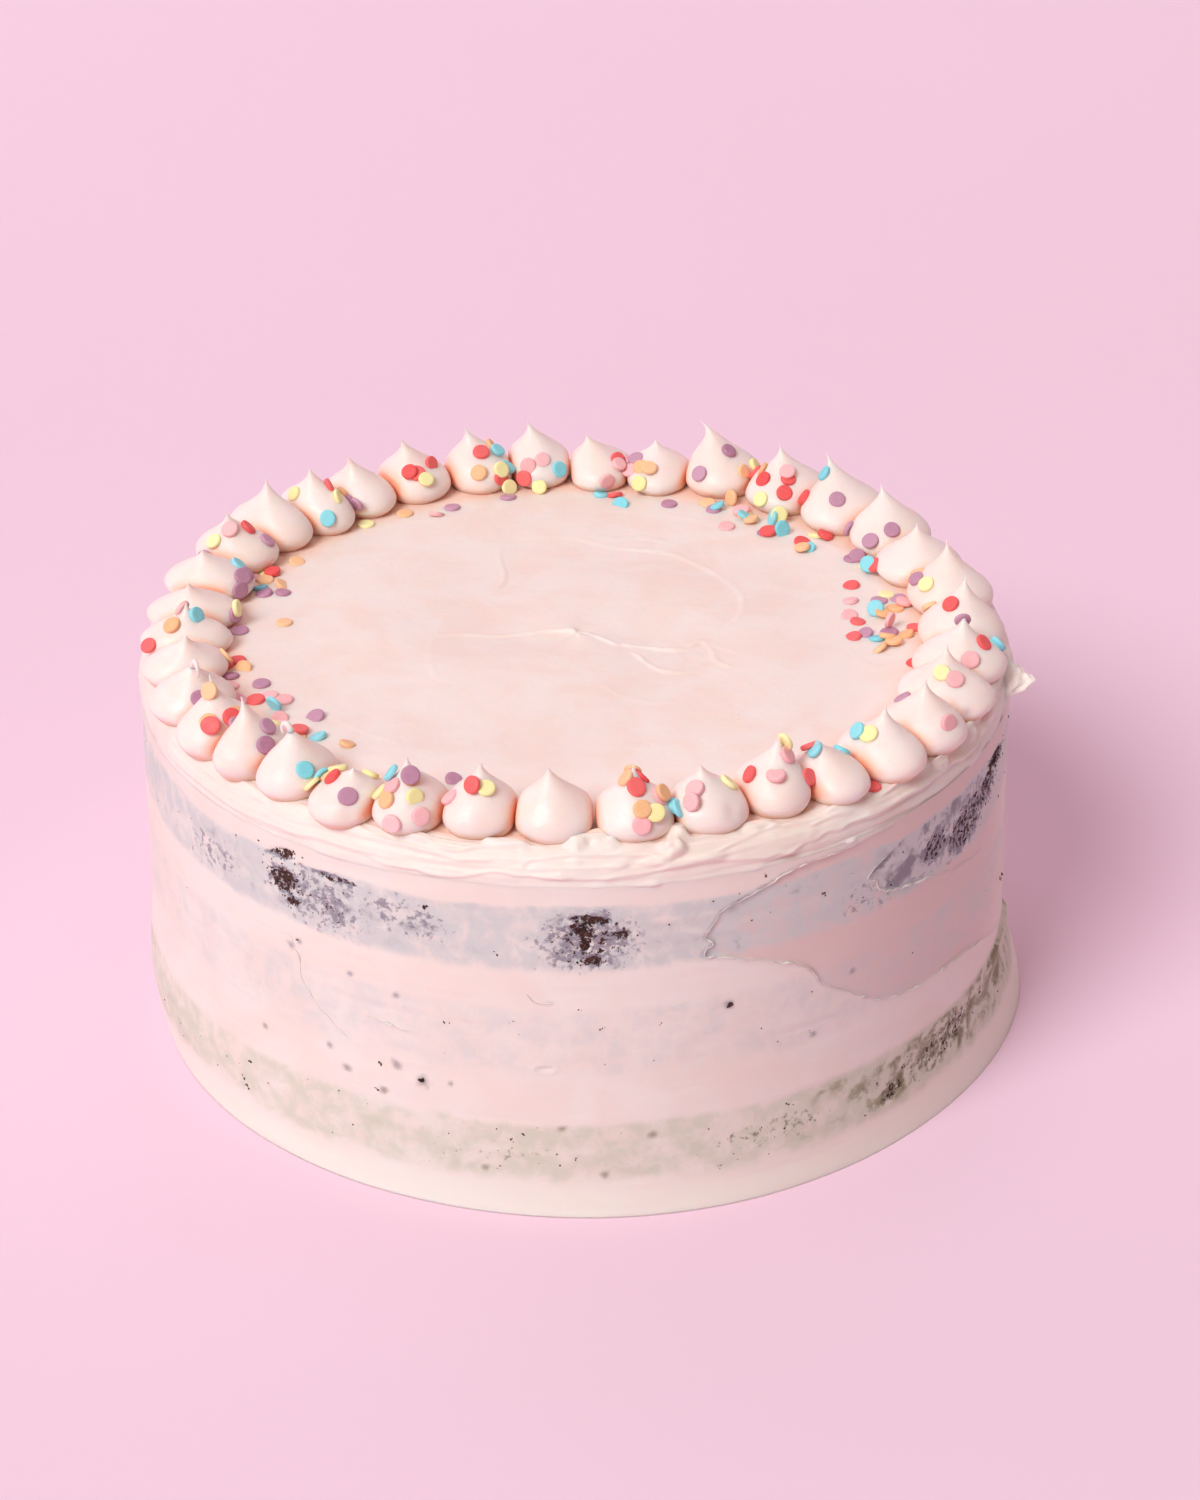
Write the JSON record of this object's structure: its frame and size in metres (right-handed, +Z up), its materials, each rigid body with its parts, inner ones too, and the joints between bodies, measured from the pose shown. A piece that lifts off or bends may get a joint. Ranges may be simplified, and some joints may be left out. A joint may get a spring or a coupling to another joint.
{
  "type": "birthday cake",
  "caption": "Round chocolate layer cake in a coat of pink buttercream thin enough at the side to show the layers, topped with a ring of piped kisses and confetti sprinkles.",
  "frame": {"origin": "middle of the cake's underside", "axes": "+Z up from the underside to the kisses; -Y towards the side that faces the viewer in the picture, +X to its right"},
  "size_m": [0.2121, 0.2024, 0.1098],
  "materials": {
    "chocolate_cake": "dark, dry, open crumb",
    "filling": "soft satin buttercream",
    "icing": "soft satin buttercream, spread thin at the side",
    "kiss": "smooth satin buttercream",
    "sprinkle_teal": "matte pressed sugar",
    "sprinkle_pink": "matte pressed sugar",
    "sprinkle_coral": "matte pressed sugar",
    "sprinkle_orange": "matte pressed sugar",
    "sprinkle_yellow": "matte pressed sugar",
    "sprinkle_purple": "matte pressed sugar"
  },
  "bodies": {
    "root": {"cake_bottom": "chocolate_cake", "filling_lower": "filling", "cake_middle": "chocolate_cake", "filling_upper": "filling", "cake_top": "chocolate_cake", "icing": "icing", "kiss_01": "kiss", "kiss_02": "kiss", "kiss_03": "kiss", "kiss_04": "kiss", "kiss_05": "kiss", "kiss_06": "kiss", "kiss_07": "kiss", "kiss_08": "kiss", "kiss_09": "kiss", "kiss_10": "kiss", "kiss_11": "kiss", "kiss_12": "kiss", "kiss_13": "kiss", "kiss_14": "kiss", "kiss_15": "kiss", "kiss_16": "kiss", "kiss_17": "kiss", "kiss_18": "kiss", "kiss_19": "kiss", "kiss_20": "kiss", "kiss_21": "kiss", "kiss_22": "kiss", "kiss_23": "kiss", "kiss_24": "kiss", "kiss_25": "kiss", "kiss_26": "kiss", "kiss_27": "kiss", "kiss_28": "kiss", "kiss_29": "kiss", "kiss_30": "kiss", "kiss_31": "kiss", "kiss_32": "kiss", "kiss_33": "kiss", "kiss_34": "kiss", "kiss_35": "kiss", "kiss_36": "kiss"}
  },
  "joints": []
}
